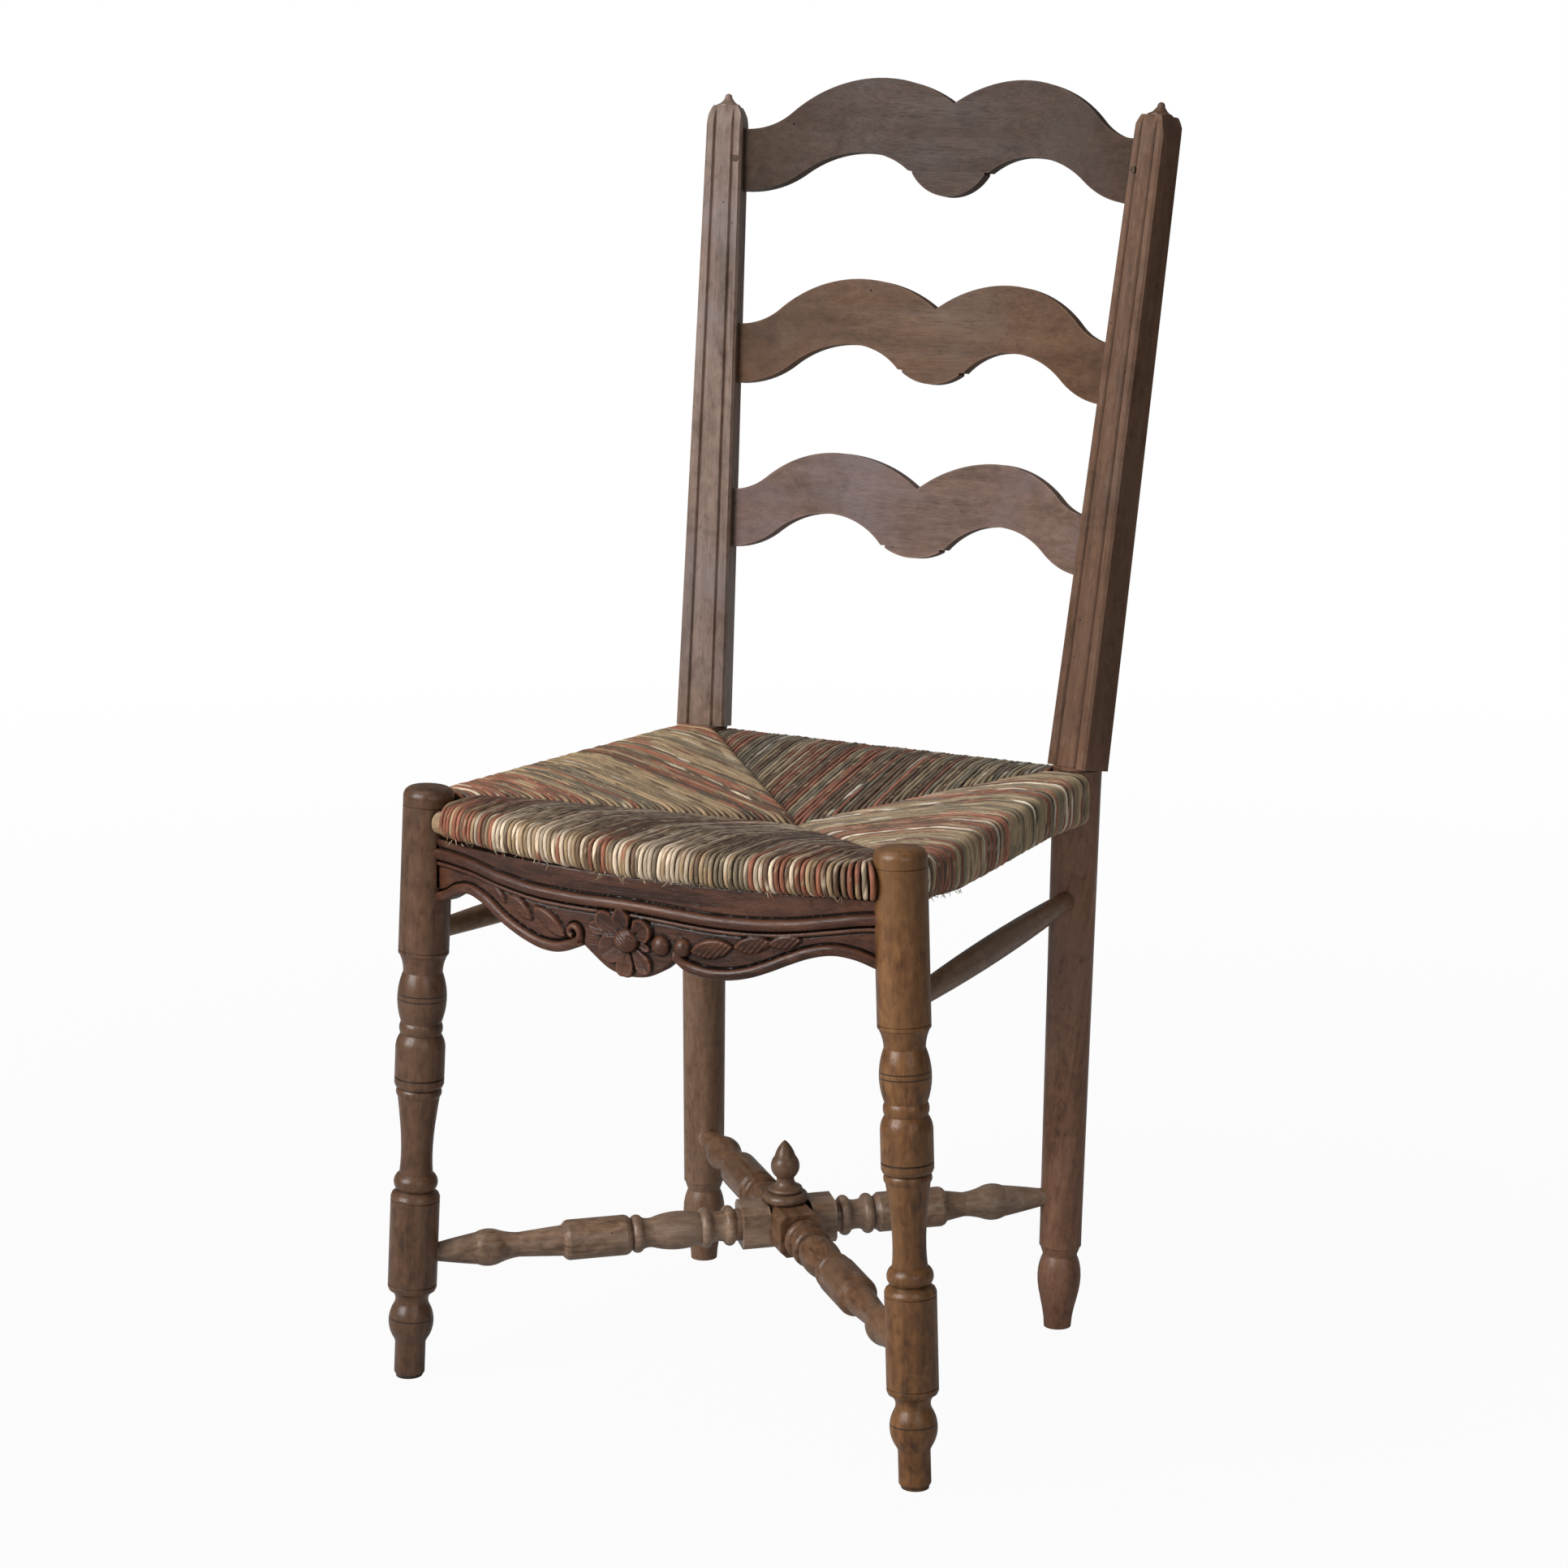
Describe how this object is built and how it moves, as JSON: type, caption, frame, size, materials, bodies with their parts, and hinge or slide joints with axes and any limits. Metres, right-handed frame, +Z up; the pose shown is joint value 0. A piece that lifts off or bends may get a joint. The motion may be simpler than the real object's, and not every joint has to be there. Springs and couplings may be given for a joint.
{
  "type": "rush seat chair",
  "caption": "Wooden side chair with a dished woven rush seat, bowed ladder back, carved apron, turned front legs and a turned cross stretcher.",
  "frame": {"origin": "on the floor, under the middle of the chair's bounding box", "axes": "+Z up, -Y the way the sitter faces, +X the right hand of someone who faces the front of the chair"},
  "size_m": [0.4822, 0.5276, 0.9944],
  "materials": {
    "leg_walnut": "worn waxed walnut, warm brown",
    "post_walnut": "worn waxed walnut",
    "slat_walnut": "worn waxed walnut, greyish brown",
    "apron_walnut": "carved and waxed walnut, reddish brown",
    "stretcher_walnut": "dark waxed walnut",
    "peg_wood": "dark end grain",
    "rail_beech": "plain riven beech under the rush",
    "rush": "twisted rush cord in straw, coral and olive bands",
    "padding": "loose dry rush stuffing"
  },
  "bodies": {
    "root": {"front_leg_left": "leg_walnut", "front_leg_right": "leg_walnut", "rear_post_left": "post_walnut", "rear_post_right": "post_walnut", "crest_slat": "slat_walnut", "middle_slat": "slat_walnut", "lower_slat": "slat_walnut", "crest_pegs": "peg_wood", "front_apron": "apron_walnut", "side_stretcher_left": "stretcher_walnut", "side_stretcher_right": "stretcher_walnut", "cross_stretcher_left": "stretcher_walnut", "cross_stretcher_right": "stretcher_walnut", "cross_finial": "stretcher_walnut", "seat_rail_front": "rail_beech", "seat_rail_back": "rail_beech", "seat_rail_left": "rail_beech", "seat_rail_right": "rail_beech", "rush_seat": "rush", "rush_padding": "padding"}
  },
  "joints": []
}
